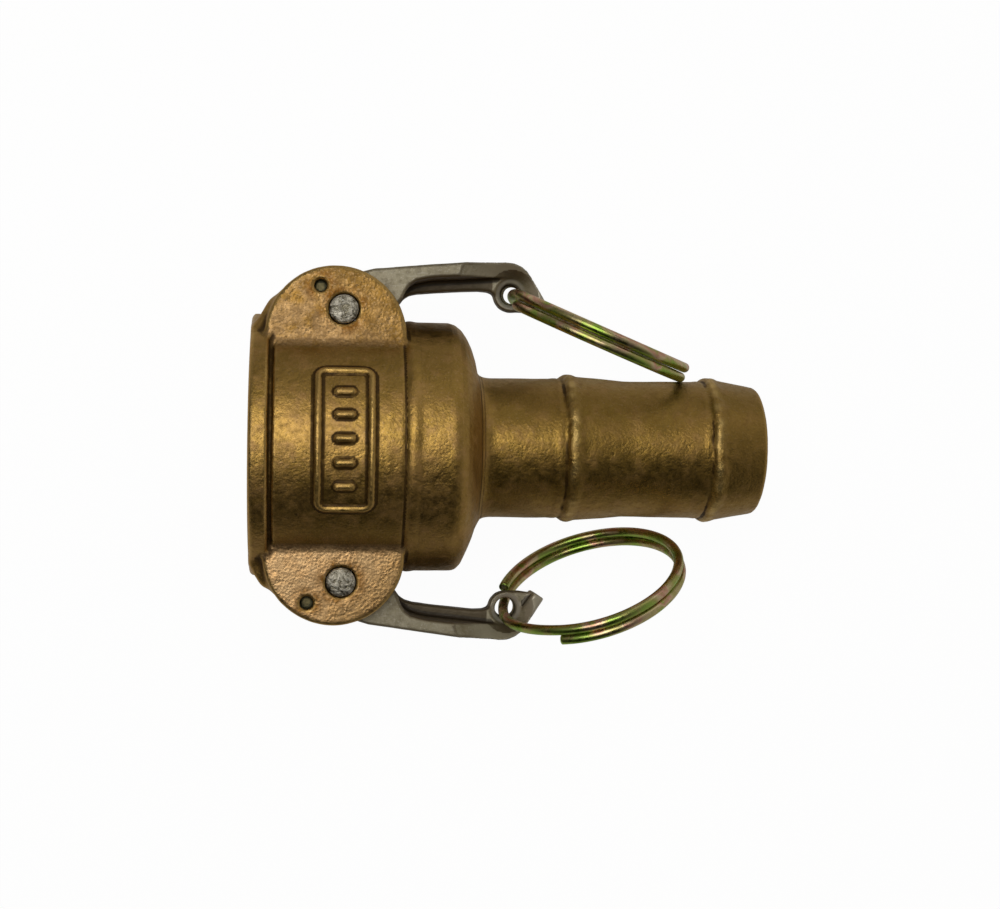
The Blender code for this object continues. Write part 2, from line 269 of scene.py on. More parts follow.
def settle(field, points, step):
    """Vertices moved onto the field's zero surface, and their outward directions."""
    for _ in range(2):
        slope = gradient(field, points)
        steepness = np.maximum((slope * slope).sum(1), 0.15)
        move = np.clip(field(*points.T) / steepness, -0.35 * step, 0.35 * step)
        points = points - move[:, None] * slope
    slope = gradient(field, points)
    return points, slope / np.maximum(np.linalg.norm(slope, axis=1), 1e-6)[:, None]


def bend(field, points, probe):
    """Mean curvature of the surface: positive on outside edges, negative in corners."""
    total = -6 * field(*points.T)
    for shift in np.eye(3) * probe:
        total = total + field(*(points - shift).T) + field(*(points + shift).T)
    return total / (probe * probe)


def surface(field, low, high, step, probe):
    """Points, outward directions, curvature and faces of a field's surface."""
    points, faces = skin(field, low, high, step)
    points, normals = settle(field, points, step)
    return points, normals, bend(field, points, probe), faces


def to_object(name, points, faces, marks=None):
    """A smooth mesh object from points in mm; marks become float attributes."""
    mesh = bpy.data.meshes.new(name)
    mesh.from_pydata(points * MM + np.array(MOUTH)[None], [], faces)
    mesh.update()
    mesh.shade_smooth()
    for key, values in (marks or {}).items():
        layer = mesh.attributes.new(key, "FLOAT", "POINT")
        layer.data.foreach_set("value", np.asarray(values, np.float32))
    obj = bpy.data.objects.new(name, mesh)
    SCENE.collection.objects.link(obj)
    return obj


def turned(name, profile, centre, segments, columns, closed):
    """A profile of (distance along the axis, radius) turned about it.

    columns says which of (axis, first across, second across) goes to x, y and z.
    """
    angles = np.arange(segments) * 2 * math.pi / segments
    points, faces, rows = [], [], []
    for along, radius in profile:
        if radius < 1e-6:
            rows.append([len(points)])
            points.append((along, 0.0, 0.0))
            continue
        rows.append(range(len(points), len(points) + segments))
        points += [(along, radius * math.cos(a), radius * math.sin(a)) for a in angles]
    following = rows[1:] + rows[:1] if closed else rows[1:]
    for row, after in zip(rows, following):
        for i in range(segments):
            j = (i + 1) % segments
            if len(row) == 1:
                faces.append((row[0], after[j], after[i]))
            elif len(after) == 1:
                faces.append((row[i], row[j], after[0]))
            else:
                faces.append((row[i], row[j], after[j], after[i]))
    return to_object(name, np.array(points)[:, columns] + np.array(centre), faces)


# =================================================================================================
# cast body
# =================================================================================================
BODY_LENGTH = 92.2
BODY_R = 23.45  # the rim at the mouth
WALL_R = 20.9  # between the cup bore and the outside
PANEL_R = 22.3  # the cup's outside, which carries the raised tab
BODY_STEP = 0.36

# The outside as (x, radius), from the hose end to the shoulder and from there to the mouth.
SHANK_LINE = [
    (92.2, -6), (92.2, 11.3), (91.85, 11.72), (84.9, 12.95), (84.1, 13.25), (83.4, 13.42),
    (82.8, 13.32), (82.4, 13.05), (82.05, 12.75), (81.8, 12.6), (81.5, 12.74), (81.2, 12.72),
    (80.4, 12.62), (67.5, 12.5), (58.6, 13.2), (58.0, 13.4), (57.3, 13.58), (56.7, 13.55),
    (56.2, 13.3), (55.8, 12.95), (55.4, 12.72), (55.0, 12.84), (54.3, 12.84), (53.6, 12.75),
]
CUP_LINE = [
    (35.0, 22.5), (29.2, 22.5), (28.4, 22.68), (27.7, 22.72), (27.1, 22.55), (26.8, 22.4),
    (26.55, 22.08), (26.1, 22.3), (4.2, 22.3), (3.95, 21.75), (3.35, 21.75), (3.15, 23.42),
    (0.5, 23.45), (0, 23.0), (0, -6),
]
ROUND_SHOULDER = [
    (42.7, 12.74), (41.7, 12.86), (40.9, 13.16), (40.3, 13.8), (39.9, 15.0), (39.5, 16.8),
    (38.9, 18.6), (38.1, 20.2), (37.2, 21.4), (36.2, 22.15),
]
PLAIN_SHOULDER = [
    (42.8, 12.74), (41.9, 12.86), (41.15, 13.2), (40.2, 15.05), (39.3, 17.45), (38.45, 19.45),
    (37.5, 21.4), (36.7, 22.25), (36.0, 22.48),
]
BORE_LINE = [
    (97, -6), (97, 10.9), (93.0, 10.7), (91.6, 9.9), (41, 9.9), (36, 13.2), (32.75, 13.2),
    (32.75, 20.15), (25.8, 20.15), (25.8, 18.7), (0.9, 18.7), (0, 19.6), (-3, 22.6), (-3, -6),
]
shell_round, shell_plain = (
    OutlineField(SHANK_LINE + shoulder + CUP_LINE, (-3, 96), (-1, 36), step=0.1, soften=0.13)
    for shoulder in (ROUND_SHOULDER, PLAIN_SHOULDER)
)
bore = OutlineField(BORE_LINE, (-4, 97), (-1, 36), step=0.1, soften=0.05)

# The webs that carry the ears, as (x, distance from the bore's axis along Y).
WEB_UPPER = [(0.3, 12), (0.3, 18.6), (1.4, 21.6), (3.6, 25.0), (8.5, 26.6), (14, 26.6), (14, 12)]
WEB_LOWER = [(0.3, 12), (0.3, 19.4), (1.2, 22.4), (2.6, 24.3), (8.5, 25.5), (14, 25.5), (14, 12)]
web_upper, web_lower = (
    OutlineField(line, (-4, 30), (8, 36), step=0.1, soften=0.45) for line in (WEB_UPPER, WEB_LOWER)
)

ARM_ROOM = 9.7  # half the gap along Z in which an arm turns
ARM_ROOM_Y = 17.0  # the gap is cut only beyond this
EAR_X, EAR_Y, EAR_R, EAR_HALF = 14.7, 18.95, 12.2, 2.1
EAR_MID = ARM_ROOM + EAR_HALF
WEB_HALF = 0.9
WEB_MID = ARM_ROOM + WEB_HALF
WINDOW_X, WINDOW_HALF = 16.525, 7.075  # openings through the cup's wall
PIN_HOLE_R = 2.7  # in the ears and the arms
CLIP_HOLE_R = 1.12
CLIP_HOLES = ((11.9, 27.6), (10.1, -27.2))
TAB_X, TAB_ARC = 16.2, 1.2  # the raised tab's middle: along the bore, and round the panel
BAR_PITCH = 4.1
WAVES = ((3, 1.0, 0.5), (7, 2.2, 0.3), (12, 0.4, 0.2))  # cycles per turn, phase, share


def shell(x, radius, y, z):
    """The outside of revolution, with two wavy beads on the shank and an uneven shoulder."""
    angle = np.arctan2(y, z)
    wander = sum(share * np.sin(cycles * angle + phase) for cycles, phase, share in WAVES)
    x = x + wander * (0.3 * bell(x, 56.6, 2.2) + 0.34 * bell(x, 83.0, 2.2))
    # the shoulder is plainer toward the lower arm
    share = ease(np.arctan2(y, np.abs(z) + 1e-6), -1.45, -0.75)
    return shell_round(x, radius) * share + shell_plain(x, radius) * (1 - share)


def tab(x, arc):
    """A blank raised tab: a round-cornered frame and five bars, as a distance on the panel."""
    x, arc = x - TAB_X, arc - TAB_ARC
    frame_line = np.hypot(np.maximum(np.abs(x) - 3.1, 0), np.maximum(np.abs(arc) - 10.9, 0)) - 1.5
    rim = np.abs(frame_line + 0.05) - 0.55
    from_bar = (arc + BAR_PITCH / 2) % BAR_PITCH - BAR_PITCH / 2
    bar = np.hypot(np.maximum(np.abs(x) - 1.15, 0), from_bar) - 0.62
    return np.minimum(rim, np.where(np.abs(arc) < 2.5 * BAR_PITCH, bar, 9.0))


def body_field(x, y, z):
    radius = np.hypot(y, z)
    high, wide = np.abs(y), np.abs(z)
    hull = shell(x, radius, y, z)

    # the tab and a fine curved seam stand up from the +Z side
    arc = np.arctan2(y, np.maximum(z, 1e-3)) * PANEL_R
    lift = 0.6 * ease(-tab(x, arc), -0.38, 0.45)
    seam_x = 25.1 - 1.5 * np.cos(np.clip(arc / 11.0, -1.5, 1.5)) ** 2
    seam = 0.055 * bell(x, seam_x, 0.32) * ease(9.0 - np.abs(arc + 0.5), 0, 3)
    solid = hull - np.where((z > 0) & (radius > WALL_R), lift + seam, 0)

    plan = np.hypot(x - EAR_X, np.maximum(high - EAR_Y, 0)) - EAR_R
    ear = slab(plan, wide - EAR_MID, EAR_HALF, radius=0.7)
    web_plan = np.where(y > 0, web_upper(x, high), web_lower(x, high))
    web = slab(web_plan, wide - WEB_MID, WEB_HALF, radius=0.5)
    solid = join(join(solid, web, 1.7), join(ear, web, 2.2), 0.95)

    room = np.maximum(wide - ARM_ROOM, 0.45 - hull)
    solid = carve(solid, np.where(high > ARM_ROOM_Y, room, 9.0), 0.3)
    solid = carve(solid, -(-bore(x, radius)), 0.3)
    window = overlap(np.abs(x - WINDOW_X) - WINDOW_HALF, wide - ARM_ROOM, radius=0.7)
    solid = carve(solid, window, 0.45)
    solid = carve(solid, round_hole(x, high, PIN["upper"], PIN_HOLE_R), 0.16)
    for centre in CLIP_HOLES:
        drill = np.maximum(round_hole(x, y, centre, CLIP_HOLE_R), 11.7 - wide)
        solid = carve(solid, drill, 0.5)
    return solid


def build_body():
    points, normals, curve, faces = surface(
        body_field, (-1.1, -32.3, -24.6), (93.3, 32.3, 24.6), BODY_STEP, probe=0.45
    )
    x, y, z = points.T
    radius, high, wide = np.hypot(y, z), np.abs(y), np.abs(z)
    wall = bore(x, radius)
    fine = ease(0.28 - np.abs(wall), 0, 0.2)  # machined: the bores and the mouth's face
    fine = np.maximum(fine, ease(0.5 - x, 0, 0.3))
    flat = ease(wide, 13.2, 13.75) * ease(np.abs(normals[:, 2]), 0.6, 0.9)  # the ears' flats
    flat = flat * (x < 27.2) * (high > ARM_ROOM_Y)
    hole = round_hole(x, high, PIN["upper"], PIN_HOLE_R)
    for centre in CLIP_HOLES:
        hole = np.minimum(hole, round_hole(x, y, centre, CLIP_HOLE_R))
    ragged = bell(x, 56.9, 1.2) + bell(x, 83.4, 1.3)  # the two beads on the shank

    lumps = relief(x, y, z, (0.075, 6.5, 0.0), (0.04, 2.6, 3.1), (0.018, 1.1, 7.7))
    lumps += flat * relief(x, y, z, (0.02, 1.15, 5.5), (0.02, 0.75, 9.1))
    lumps += ragged * relief(x, y, z, (0.12, 1.6, 1.9), (0.09, 0.8, 4.2))
    points = points + normals * (lumps * (1 - 0.93 * fine))[:, None]
    points[:, 0] = np.clip(points[:, 0], 0.0, BODY_LENGTH)
    points[:, 2] = np.clip(points[:, 2], -BODY_R, BODY_R)

    # painted shade in the creases: weaker at the shoulder's toe and patchy on the shank
    shoulder_less_shade = 1 - 0.7 * bell(x, 41.9, 1.1)
    patchy = 1 - np.clip(0.45 + 0.9 * noise(x, y, z, 2.1, 12.5), 0, 0.85) * (x > 50)
    beads = np.clip(ragged, 0, 1)
    return to_object("cast_body", points, faces, {
        "edge": np.clip(curve * 0.55, 0, 1),
        "flat": flat,
        "crease": np.clip(-curve * 0.9, 0, 1) * shoulder_less_shade * patchy,
        "pale": flat * (y < 0),
        "shank": ease(x, 41.0, 43.5) * (radius > 11.2) * (0.85 + 0.15 * ease(x, 82.5, 85.0)),
        "ragged": beads,
        "bead_highlight": beads * np.clip(0.5 + noise(x, y, z, 1.3, 8.8), 0, 1) * np.clip(curve, 0, 1),
        "fine": fine,
        "hole": np.clip(hole, 0, 9),
        "hole_shade": ease(0.4 - hole, 0, 0.3) * ease(13.75 - wide, 0, 0.35) * (high > 20),
        "stain": np.clip(0.35 + (x - 16) / 13 + (high - 24) / 13, 0, 1) * flat,
        "bore_shade": ease(WALL_R - radius, 0, 1.2) * (x > 0.3) * (x < 91.6) * (wall < 0.35),
    })


# =================================================================================================
# cam arms: x from the pin's centre toward the hose end, y away from the bore, z along the pin
# =================================================================================================
ARM_STEP = 0.24
ARM_HALF_WIDTH = 9.4
ARM_TURN = math.radians(-1.3)  # both arms, about Z
# The cam round the pin: (angle in degrees, radius).
CAM = [
    (100, 6.0), (120, 5.0), (140, 4.3), (160, 4.0), (180, 4.0), (200, 4.2), (220, 4.9),
    (238, 6.0), (252, 6.95), (264, 7.35), (278, 7.35), (292, 7.2), (306, 6.8), (320, 6.5),
    (334, 6.5), (346, 6.8), (354, 7.1),
]
# The lever, then the lug and the rib on it: (x, y).
LEVER = [
    (7.7, 0.35), (9.2, 1.2), (10.2, 2.6), (10.8, 4.1), (11.5, 5.15), (12.6, 5.95), (14.2, 6.4),
    (15.6, 6.65), (29.4, 7.95), (30.9, 7.6), (32.0, 6.7), (35.3, 1.9), (37.1, 2.95), (33.9, 8.0),
    (33.0, 9.15), (31.9, 9.95), (30.6, 10.4), (29.2, 10.5), (26.0, 10.2), (15.5, 9.0),
    (5.2, 7.75), (2.6, 7.0),
]
LUG = [
    (26.2, 7.9), (27.1, 6.6), (27.35, 5.1), (28.6, 2.65), (30.4, 2.0), (32.8, 1.95),
    (34.8, 2.2), (35.3, 2.9), (32.6, 7.2), (31.2, 8.2),
]
RIB = [
    (10.2, 2.7), (10.9, 3.4), (12.0, 4.1), (13.4, 4.5), (15.6, 4.75), (20.0, 5.15),
    (24.5, 5.5), (26.2, 5.4), (28.5, 4.6), (29.6, 8.2), (12.6, 6.9), (10.4, 5.4),
]
cam_points = [
    (radius * math.cos(math.radians(angle)), radius * math.sin(math.radians(angle)))
    for angle, radius in CAM
]
arm_plan, lug_plan, rib_plan = (
    OutlineField(line, (-11, 41), (-11, 14), step=0.08, soften=soften)
    for line, soften in ((cam_points + LEVER, 0.16), (LUG, 0.12), (RIB, 0.12))
)
# Stations along x, then the half width and the side's slope there.
HALF_WIDTHS = (
    [21.5, 23.0, 25.0, 27.1, 28.8, 30.5, 31.8, 38.0],
    [9.4, 9.2, 8.55, 7.3, 5.85, 4.65, 4.15, 3.6],
)
SIDE_SLOPES = ([21.5, 25.0, 27.0, 29.8, 31.8], [1.0, 0.9, 0.78, 0.8, 0.99])
EYE = (30.4, 5.05)  # the ring's hole in the lug
EYE_R = 1.95
# On its -Z half the eye is off centre: (x shift, y shift, radius).
WORN_EYE = {"upper": (0.4, 0.0, 1.5), "lower": (-0.15, -0.2, 1.75)}


def arm_field(x, y, z, worn):
    wide = np.abs(z)
    sides = (wide - np.interp(x, *HALF_WIDTHS)) * np.interp(x, *SIDE_SLOPES)
    solid = overlap(arm_plan(x, y), sides, radius=0.5)
    solid = join(solid, slab(rib_plan(x, y), z, half=1.9, radius=0.45), 0.8)
    boss = slab(round_hole(x, y, EYE, 3.1), z, half=1.5, radius=0.35)
    lug = join(slab(lug_plan(x, y), z, half=1.5, radius=0.3), boss, 0.3)
    solid = join(solid, lug, 0.6)
    solid = carve(solid, np.hypot(x, y) - PIN_HOLE_R, 0.3)
    # both ends of the eye flare
    round_eye = round_hole(x, y, EYE, EYE_R) - np.maximum(wide - 0.95, 0)
    worn_x, worn_y, worn_radius = worn
    worn_eye = round_hole(x - worn_x, y - worn_y, EYE, worn_radius) - np.maximum(wide - 1.1, 0)
    share = ease(z, -0.7, -0.2)
    return carve(solid, round_eye * share + worn_eye * (1 - share), 0.2)


def build_arm(side, sign):
    points, normals, curve, faces = surface(
        lambda x, y, z: arm_field(x, y, z, WORN_EYE[side]),
        (-8.6, -8.6, -10.3), (38.3, 11.6, 10.3), ARM_STEP, probe=0.4,
    )
    x, y, z = points.T
    wide = np.abs(z)
    shift = 0.0 if sign > 0 else 31.0
    lumps = relief(x, y, z, (0.035, 3.2, 2.2 + shift), (0.014, 1.1, 6.4 + shift))
    points = points + normals * lumps[:, None]
    points[:, 2] = np.clip(points[:, 2], -ARM_HALF_WIDTH, ARM_HALF_WIDTH)
    cos, sin = math.cos(ARM_TURN), math.sin(ARM_TURN)
    along, out = points[:, 0], sign * points[:, 1]
    placed = np.stack([
        PIN[side].x + cos * along - sin * out, PIN[side].y + sin * along + cos * out, points[:, 2],
    ], 1)
    from_eye_rim = np.abs(round_hole(x, y, EYE, 2.35))
    return to_object(f"forged_arm_{side}", placed, faces if sign > 0 else faces[:, ::-1], {
        "edge": np.clip(curve * 0.5, 0, 1),
        "crease": np.clip(-curve * 0.8, 0, 1),
        "under": ease(-normals[:, 1], 0.2, 0.8) * (x > 6),
        "eye": ease(0.55 - from_eye_rim, 0, 0.5) * (wide > 0.9),
        "rib": ease(3.2 - wide, 0, 0.6) * (arm_plan(x, y) > 0.1) * (x > 9) * (x < 27.0),
        "tip": ease(x, 33.2, 34.6),
        "taper_light": ease(x, 21.5, 27.0) * ease(np.abs(normals[:, 2]), 0.35, 0.6) * (wide > 3.3),
    })


# =================================================================================================
# pins and gasket
# =================================================================================================
PIN_R, PIN_WAIST_R = 2.5, 2.4
PIN_HALF_LENGTH = 14.3


def build_pin(side):
    """A pin with domed ends and a slightly thinner middle."""
    dome = []
    for share in np.linspace(0, 1, 13):
        chamfer = 0.06 if share == 1 else 0
        dome.append((PIN_HALF_LENGTH - 0.34 * share ** 3.2 - chamfer, PIN_R * share))
    half = dome + [(13.5, PIN_R), (9.8, PIN_R), (9.5, PIN_WAIST_R)]
    profile = half + [(0.0, PIN_WAIST_R)] + [(-along, radius) for along, radius in reversed(half)]
    centre = (PIN[side].x, PIN[side].y, 0)
    return turned(f"rivet_pin_{side}", profile, centre, 64, columns=[1, 2, 0], closed=False)


# The gasket's section as (x from the face or middle named, radius).
GASKET_MOUTH_FACE = [
    (0.55, 13.55), (0.2, 13.85), (0, 14.4), (0, 15.4), (0.12, 15.8), (0.4, 16.1), (0.45, 16.5),
    (0.18, 16.8), (0.02, 17.3), (0, 18.6), (0.1, 19.3), (0.45, 19.7), (0.9, 19.85),
]
GASKET_HOSE_FACE = [
    (-0.9, 19.85), (-0.4, 19.7), (-0.1, 19.3), (0, 18.6), (0, 14.4), (-0.2, 13.85),
    (-0.6, 13.55), (-1.5, 13.5),
]
GASKET_GROOVE = [(0.7, 13.5), (0.4, 13.8), (-0.4, 13.8), (-0.7, 13.5)]


def build_gasket():
    start, end = ((corner - MOUTH).x / MM for corner in box_of("gasket"))
    section = [
        (base + x, radius)
        for base, line in (
            (start, GASKET_MOUTH_FACE), (end, GASKET_HOSE_FACE),
            ((start + end) / 2, GASKET_GROOVE), (start, [(1.3, 13.5)]),
        )
        for x, radius in line
    ]
    return turned("rubber_gasket", section, (0, 0, 0), 96, columns=[0, 1, 2], closed=True)


# =================================================================================================
# split rings
# =================================================================================================
WIRE_R, GAP = 0.9, 0.12
RING_ROWS, WIRE_SIDES = (420), 22


def split_ring(name, eye, radius, heading, roll, lean, crossing):
    """Two turns of wire side by side; over the crossing angles it passes from one to the other.

    Angles are in degrees, those round the ring measured from the eye at (x, y).
    """
    heading, roll, lean = (math.radians(angle) for angle in (heading, roll, lean))
    level = np.array((math.cos(heading), math.sin(heading), 0))
    up = np.array((0, 0, 1.0))
    steep = up * math.cos(lean) + np.cross(level, up) * math.sin(lean)
    to_centre = level * math.cos(roll) + steep * math.sin(roll)
    along = steep * math.cos(roll) - level * math.sin(roll)
    normal = np.cross(along, to_centre)
    shift = (2 * WIRE_R + GAP) / 2

    def layer(angle):
        return shift * (2 * ease(angle, *crossing) - 1)

    def way(angle):
        turn = np.radians(angle)[:, None]
        return (
            to_centre * radius * (1 - np.cos(turn)) + along * radius * np.sin(turn)
            + normal * (layer(angle) - layer(np.zeros(1)))[:, None]
        )

    angle = np.linspace(crossing[1] - 360, crossing[0] + 360, RING_ROWS)
    tangent = way(angle + 0.05) - way(angle - 0.05)
    tangent /= np.linalg.norm(tangent, axis=1)[:, None]
    side = normal - (tangent @ normal)[:, None] * tangent
    side /= np.linalg.norm(side, axis=1)[:, None]
    out = np.cross(tangent, side)

    # the cut ends are square, with the edge just taken off
    rows = [0, *range(RING_ROWS), RING_ROWS - 1]
    path = way(angle)[rows]
    path[1] += tangent[0] * 0.09
    path[-2] -= tangent[-1] * 0.09
    side, out, angle = side[rows], out[rows], angle[rows]
    wire = np.full(len(path), WIRE_R)
    wire[0] = wire[-1] = WIRE_R - 0.1

    spokes = (np.arange(WIRE_SIDES) * 2 * math.pi / WIRE_SIDES)[None, :, None]
    tube = path[:, None] + wire[:, None, None] * (
        np.cos(spokes) * side[:, None] + np.sin(spokes) * out[:, None]
    )
    points = np.concatenate([tube.reshape(-1, 3), path[:1], path[-1:]]) + np.array((*eye, 0))
    last = (len(path) - 1) * WIRE_SIDES
    first_cap = last + WIRE_SIDES
    following = [(j, (j + 1) % WIRE_SIDES) for j in range(WIRE_SIDES)]
    faces = [
        (row + j, row + WIRE_SIDES + j, row + WIRE_SIDES + k, row + k)
        for row in range(0, last, WIRE_SIDES)
        for j, k in following
    ]
    for j, k in following:
        faces.append((first_cap, j, k))
        faces.append((first_cap + 1, last + k, last + j))
    turns = np.concatenate([np.repeat(angle, WIRE_SIDES), angle[:1], angle[-1:]])
    cut = np.zeros(len(points))
    cut[first_cap:] = 1
    return to_object(name, points, faces, {"turn": np.radians(turns) * radius, "cut": cut})


cast_body = build_body()
arms = {side: build_arm(side, sign) for side, sign in SIDES.items()}
pins = {side: build_pin(side) for side in SIDES}
gasket = build_gasket()
rings = {
    "upper": split_ring(
        "split_ring_upper", eye=(46.9, 27.9), radius=17.1,
        heading=-22.4, roll=5.0, lean=8.0, crossing=(-36, 24),
    ),
    "lower": split_ring(
        "split_ring_lower", eye=(45.95, -29.0), radius=16.6,
        heading=20.0, roll=17.0, lean=21.0, crossing=(-12, 72),
    ),
}
for obj in (*rings.values(), *pins.values()):  # keep the ends crisp
    obj.data.set_sharp_from_angle(angle=math.radians(50))

# =================================================================================================
# materials
# =================================================================================================


def srgb(*channels):
    """A linear colour from sRGB channels of 0-255."""
    shares = [channel / 255 for channel in channels]
    return tuple(c / 12.92 if c <= 0.04045 else ((c + 0.055) / 1.055) ** 2.4 for c in shares)


class Tree:
    """Short calls that add nodes to the node tree of a material or world."""

    def __init__(self, owner):
        owner.use_nodes = True
        self.tree = owner.node_tree

    def put(self, socket, value):
        if isinstance(value, bpy.types.NodeSocket):
            self.tree.links.new(value, socket)
        else:
            socket.default_value = value

    def add(self, kind, inputs=None, **settings):
        """A new node's outputs. inputs maps input names or numbers to sockets or values."""
        node = self.tree.nodes.new("ShaderNode" + kind)
        for key, value in settings.items():
            setattr(node, key, value)
        for key, value in (inputs or {}).items():
            self.put(node.inputs[key], value)
        return node.outputs

    def fade(self, value, low, high, start=0.0, end=1.0):
        """Goes smoothly from start to end as the value goes from low to high."""
        return self.add("MapRange", {
            "Value": value, "From Min": low, "From Max": high, "To Min": start, "To Max": end,
        }, interpolation_type="SMOOTHSTEP")["Result"]

    def times(self, first, second):
        return self.add("Math", {0: first, 1: second}, operation="MULTIPLY")[0]

    def plus(self, first, second):
        return self.add("Math", {0: first, 1: second}, operation="ADD")[0]

    def minus(self, first, second):
        return self.add("Math", {0: first, 1: second}, operation="SUBTRACT")[0]


class Look(Tree):
    """A Principled material. Its patterns are sized in millimetres."""

    def __init__(self, name):
        self.material = bpy.data.materials.new(name)
        super().__init__(self.material)
        self.shader = self.tree.nodes["Principled BSDF"]
        place = self.add("TexCoord")["Object"]
        self.place = self.add("VectorMath", {0: place, "Scale": 1 / MM}, operation="SCALE")[0]

    def noise(self, size, detail, rough, stretch=None, distort=0.0):
        place = self.place
        if stretch:
            place = self.add("VectorMath", {0: place, 1: stretch}, operation="MULTIPLY")[0]
        return self.add("TexNoise", {
            "Scale": 1.0 / size, "Detail": detail, "Roughness": rough, "Distortion": distort,
            "Vector": place,
        })["Fac"]

    def cells(self, size):
        return self.add("TexVoronoi", {"Scale": 1.0 / size, "Vector": self.place})["Distance"]

    def mark(self, name):
        return self.add("Attribute", attribute_name=name)["Fac"]

    def mix(self, mask, under, over, kind="MIX"):
        under, over = ((*c, 1) if isinstance(c, tuple) else c for c in (under, over))
        inputs = {0: mask, 6: under, 7: over}
        return self.add("Mix", inputs, data_type="RGBA", blend_type=kind)[2]

    def paint(self, under, *layers):
        """Layers of (mask, sRGB colour) laid on a colour in turn."""
        for mask, colour in layers:
            under = self.mix(mask, under, srgb(*colour))
        return under

    def ramp(self, value, stops):
        """Stops are (position, sRGB colour)."""
        colours = self.add("ValToRGB", {"Fac": value})["Color"]
        elements = colours.node.color_ramp.elements
        while len(elements) < len(stops):
            elements.new(0.5)
        for element, (position, colour) in zip(elements, stops):
            element.position = position
            element.color = (*srgb(*colour), 1)
        return colours

    def bump(self, *layers):
        """Layers of (height, strength 0-1, distance in mm), the coarse ones first."""
        below = {}
        for height, strength, distance in layers:
            inputs = {"Strength": strength, "Distance": distance * MM, "Height": height}
            below = {"Normal": self.add("Bump", {**inputs, **below})["Normal"]}
        self.put(self.shader.inputs["Normal"], below["Normal"])

    def finish(self, colour, rough, metal):
        self.put(self.shader.inputs["Base Color"], colour)
        self.put(self.shader.inputs["Roughness"], rough)
        self.put(self.shader.inputs["Metallic"], metal)
        return self.material


def brass():
    look = Look("cast_brass")
    fade, times, mark = look.fade, look.times, look.mark
    big = look.noise(size=9, detail=3, rough=0.55, distort=0.6)
    mid = look.noise(size=2.6, detail=4, rough=0.6)
    small = look.noise(size=0.85, detail=3, rough=0.6)
    grain = look.noise(size=0.36, detail=2, rough=0.6)
    olive = look.noise(size=5.0, detail=3, rough=0.6, distort=1.0)
    brown = look.noise(size=4.2, detail=3, rough=0.6, distort=0.8)
    flat, fine, stain = mark("flat"), mark("fine"), mark("stain")
    colour = look.paint(
        srgb(172, 138, 68),
        (fade(big, low=0.34, high=0.68), (186, 148, 80)),
        (fade(mid, low=0.45, high=0.75, end=0.6), (202, 160, 104)),
        (fade(olive, low=0.5, high=0.75, end=0.5), (156, 124, 54)),
        (fade(small, low=0.5, high=0.75, end=0.3), (140, 104, 46)),
        (fade(grain, low=0.56, high=0.72, end=0.35), (216, 180, 132)),
    )
    # the ears' flats: pinker, with gold and brown stains near the holes, paler on the lower side
    pale = look.paint(srgb(214, 172, 120), (fade(mid, low=0.36, high=0.66), (236, 198, 146)))
    spread = look.minus(0.85, times(stain, 0.45))
    patch = look.paint(
        srgb(178, 142, 92),
        (fade(brown, low=0.42, high=0.68), (158, 120, 56)),
        (times(stain, fade(mid, low=0.3, high=0.6, start=0.45, end=0.95)), (152, 116, 52)),
    )
    patch = look.mix(times(mark("pale"), spread), patch, pale)
    near_hole = fade(mark("hole"), low=2.6, high=0.2)
    patch = look.paint(
        patch,
        (times(near_hole, fade(mid, low=0.4, high=0.62)), (146, 98, 30)),
        (fade(grain, low=0.52, high=0.7, end=0.5), (206, 172, 126)),
    )
    # painted shade: the shank is darkened in blotches, a little more toward the hose end
    shade = times(mark("shank"), fade(big, low=0.3, high=0.7, start=0.7, end=1.0))
    colour = look.mix(shade, colour, (0.74, 0.74, 0.62), kind="MULTIPLY")
    colour = look.mix(flat, colour, patch)
    # painted shade: creases and corners are darkened to a dark brown, broken up by noise
    in_corners = fade(mark("crease"), low=0.12, high=0.75)
    crease_shade = times(in_corners, fade(mid, low=0.2, high=0.55, start=0.65, end=1.0))
    colour = look.paint(
        colour,
        # painted highlight: the outside edges are lightened
        (fade(mark("edge"), low=0.2, high=0.8, end=0.5), (216, 180, 108)),
        # painted highlight along the crests of the two beads
        (times(mark("bead_highlight"), 0.7), (246, 214, 140)),
        (times(crease_shade, 0.85), (58, 38, 14)),
        (times(fine, 0.6), (206, 164, 92)),
        # painted shade inside the bore
        (times(mark("bore_shade"), 0.35), (120, 88, 44)),
        (times(mark("hole_shade"), 0.85), (92, 94, 70)),  # painted shade: the walls of the small holes are darkened to a dull grey-green
    )
    look.shader.inputs["Coat Weight"].default_value = 0.15
    look.shader.inputs["Coat Roughness"].default_value = 0.4
    rough = fade(mid, low=0.3, high=0.75, start=0.38, end=0.54)
    rough = look.plus(rough, fade(small, low=0.35, high=0.7, start=-0.05, end=0.07))
    rough = look.plus(rough, times(flat, 0.02))
    rough = look.plus(rough, times(crease_shade, 0.2))
    rough = look.minus(rough, times(fine, 0.12))
    cast = look.minus(1.0, times(fine, 0.92))
    torn = look.noise(size=0.55, detail=3, rough=0.6, distort=0.5)
    tooling = look.noise(size=0.2, detail=2, rough=0.5, stretch=(6.0, 0.25, 0.25))
    look.bump(
        (mid, times(cast, look.minus(0.5, times(flat, 0.3))), 0.2),
        (small, times(cast, 0.55), 0.10),
        (look.cells(size=0.52), times(cast, look.plus(0.28, times(flat, 0.3))), 0.10),
        (grain, times(cast, 0.55), 0.05),
        (torn, times(mark("ragged"), 0.9), 0.16),
        (tooling, times(fine, 0.3), 0.02),
    )
    return look.finish(colour, rough, metal=1.0)


